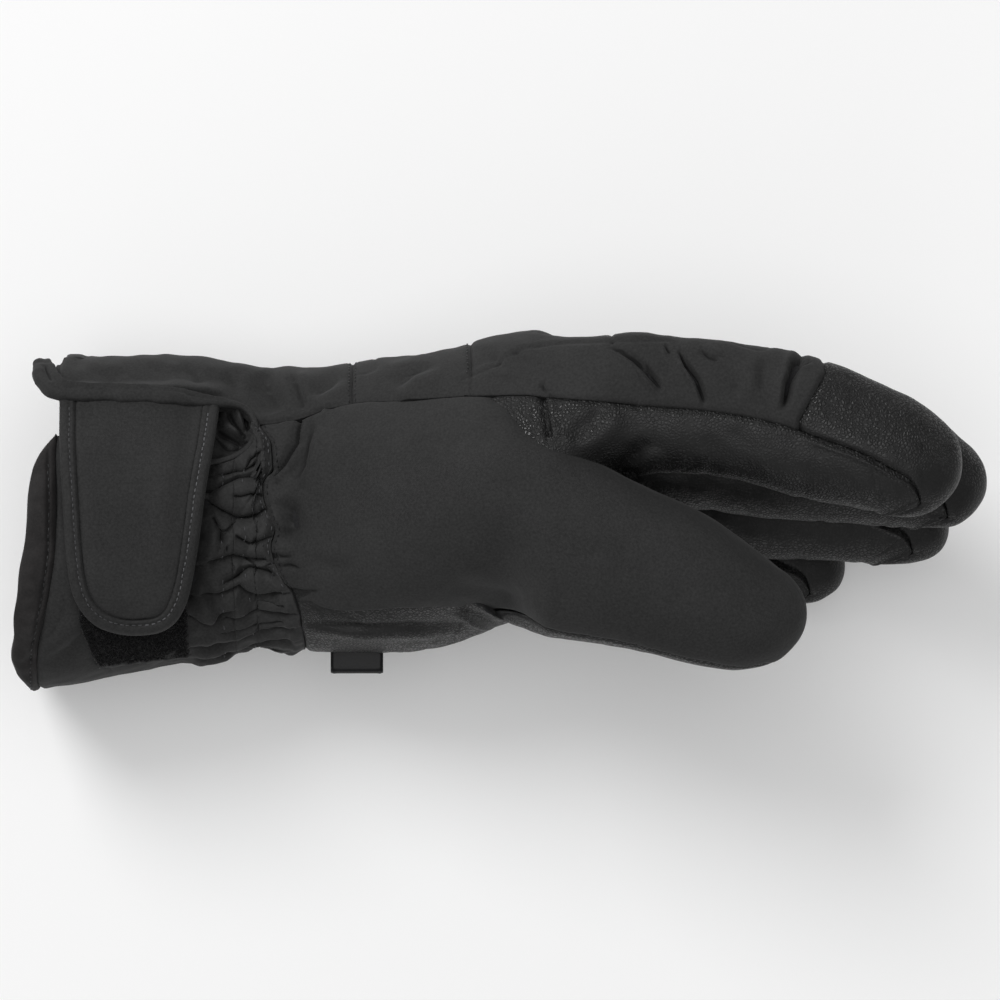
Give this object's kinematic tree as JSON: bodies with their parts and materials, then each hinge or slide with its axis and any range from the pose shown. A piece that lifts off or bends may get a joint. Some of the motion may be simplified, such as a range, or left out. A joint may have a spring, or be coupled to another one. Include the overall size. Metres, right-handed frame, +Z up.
{
  "type": "insulated glove",
  "caption": "Padded winter glove for the left hand, softshell cloth with a leather palm, long cuff with a hook-and-loop tongue, lying on its little-finger side.",
  "frame": {"origin": "on the surface that the glove lies on, under the middle of its bounding box", "axes": "+X from the cuff to the fingertips, +Y towards the back of the hand, +Z up, towards the thumb"},
  "size_m": [0.2828, 0.1049, 0.1041],
  "materials": {
    "softshell_cloth": "matt black softshell with a fine dry face",
    "hem_cloth": "matt black, smooth, a little reddish",
    "stretch_cloth": "matt black, thin, shirred on elastic",
    "palm_leather": "black pebbled leather with a soft gloss",
    "loop_pile": "fuzzy black loop pile",
    "satin_webbing": "glossy black narrow webbing"
  },
  "bodies": {
    "root": {"cuff_back": "softshell_cloth", "cuff_palm": "softshell_cloth", "cuff_hem": "hem_cloth", "wrist_gather": "stretch_cloth", "slit_binding": "hem_cloth", "slit_gusset": "stretch_cloth", "strap_tab": "softshell_cloth", "strap_binding": "softshell_cloth", "loop_patch": "loop_pile", "back_panel": "softshell_cloth", "knuckle_panel": "softshell_cloth", "palm_panel": "palm_leather", "thumb_panel": "softshell_cloth", "thumb_leather": "palm_leather", "index_back": "softshell_cloth", "index_front": "palm_leather", "index_cap": "palm_leather", "middle_back": "softshell_cloth", "middle_front": "palm_leather", "middle_cap": "palm_leather", "ring_back": "softshell_cloth", "ring_front": "palm_leather", "ring_cap": "palm_leather", "little_back": "softshell_cloth", "little_front": "palm_leather", "little_cap": "palm_leather", "clip_loop": "satin_webbing"}
  },
  "joints": []
}
